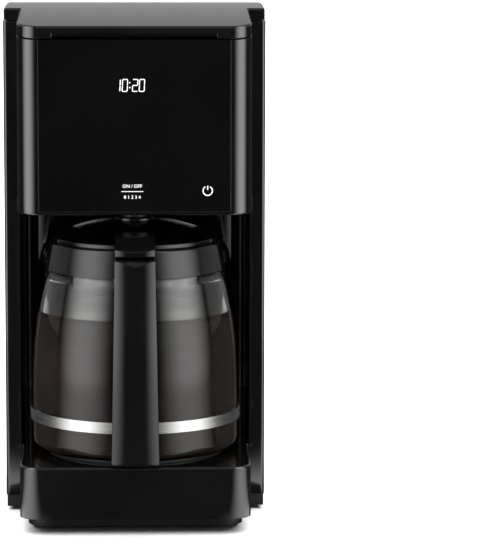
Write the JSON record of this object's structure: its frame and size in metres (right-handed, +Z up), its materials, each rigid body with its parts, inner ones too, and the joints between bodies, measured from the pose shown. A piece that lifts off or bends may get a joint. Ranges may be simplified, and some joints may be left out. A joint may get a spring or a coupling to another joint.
{
  "type": "drip coffee maker",
  "caption": "Drip coffee maker: black arched body with a touch console over an open bay holding a glass carafe with banded belly, front handle and thumb-lever lid, and a rear-hinged brew lid.",
  "frame": {"origin": "centre of the bounding box on the table plane under the feet", "axes": "+X to the right seen from the front; +Y from the carafe handle towards the back cover; +Z up"},
  "size_m": [0.197, 0.265, 0.384],
  "materials": {
    "gloss_black": "polished",
    "satin_black": "fine satin",
    "grip_black": "satin",
    "panel_gloss": "mirror-smooth",
    "display_dark": "matte",
    "soft_rubber": "matte",
    "steel": "brushed",
    "heater_aluminium": "extruded",
    "plate_coating": "non-stick coating",
    "clear_glass": "clear",
    "tank_smoke": "smoked",
    "filter_gold": "fine mesh",
    "light_plastic": "moulded",
    "circuit_green": "solder mask"
  },
  "bodies": {
    "machine": {"base_shell": "gloss_black", "head_shell": "gloss_black", "left_side_panel": "gloss_black", "right_side_panel": "gloss_black", "bay_wall": "gloss_black", "bottom_cover": "satin_black", "rear_cover": "satin_black", "brew_deck": "satin_black", "lid_hinge_block": "satin_black", "lid_hinge_pin": "steel", "filter_basket": "satin_black", "permanent_filter": "filter_gold", "touch_panel": "panel_gloss", "display_module": "display_dark", "rubber_feet": "soft_rubber", "plate_gasket": "soft_rubber", "heater_inlet_hose": "soft_rubber", "tank_hose": "soft_rubber", "riser_hose": "soft_rubber", "cord_gland": "soft_rubber", "bottom_screws": "steel", "rear_screws": "steel", "thermostat": "steel", "thermal_fuse": "light_plastic", "heater_tube": "heater_aluminium", "hot_plate": "plate_coating", "water_tank": "tank_smoke", "water_filter_holder": "light_plastic", "check_valve_body": "light_plastic", "power_board": "circuit_green", "control_board": "circuit_green", "drip_stop_spring": "steel"},
    "brew_lid": {"brew_lid": "gloss_black", "lid_liner": "satin_black", "spray_head": "satin_black"},
    "carafe": {"carafe_glass": "clear_glass", "carafe_collar": "grip_black", "carafe_band": "steel", "carafe_handle": "grip_black", "carafe_lid_pin": "steel", "handle_screw": "steel"},
    "carafe_lid": {"carafe_lid": "grip_black", "thumb_lever": "grip_black"},
    "drip_stop": {"drip_stop_plunger": "satin_black", "drip_stop_seal": "soft_rubber"},
    "valve_ball": {"check_valve_ball": "steel"}
  },
  "joints": [
    {"name": "brew_lid_hinge", "type": "hinge", "parent": "machine", "child": "brew_lid", "pos_m": [0, 0.126, 0.37501], "axis": [-1, 0, 0], "range_deg": [0, 95]},
    {"name": "carafe_slide", "type": "slide", "parent": "machine", "child": "carafe", "axis": [0, -1, 0], "range_m": [0, 0.25]},
    {"name": "carafe_lid_hinge", "type": "hinge", "parent": "carafe", "child": "carafe_lid", "pos_m": [0, -0.0995, 0.2035], "axis": [1, 0, 0], "range_deg": [0, 4]},
    {"name": "drip_stop_slide", "type": "slide", "parent": "machine", "child": "drip_stop", "axis": [0, 0, 1], "range_m": [0, 0.0064], "deforming": ["drip_stop_spring"]},
    {"name": "valve_ball_slide", "type": "slide", "parent": "machine", "child": "valve_ball", "axis": [0, 1, 0], "range_m": [0, 0.002]}
  ],
  "couplings": [
    {"joint": "drip_stop_slide", "follows": "carafe_lid_hinge", "m_per_rad": 0.09}
  ]
}
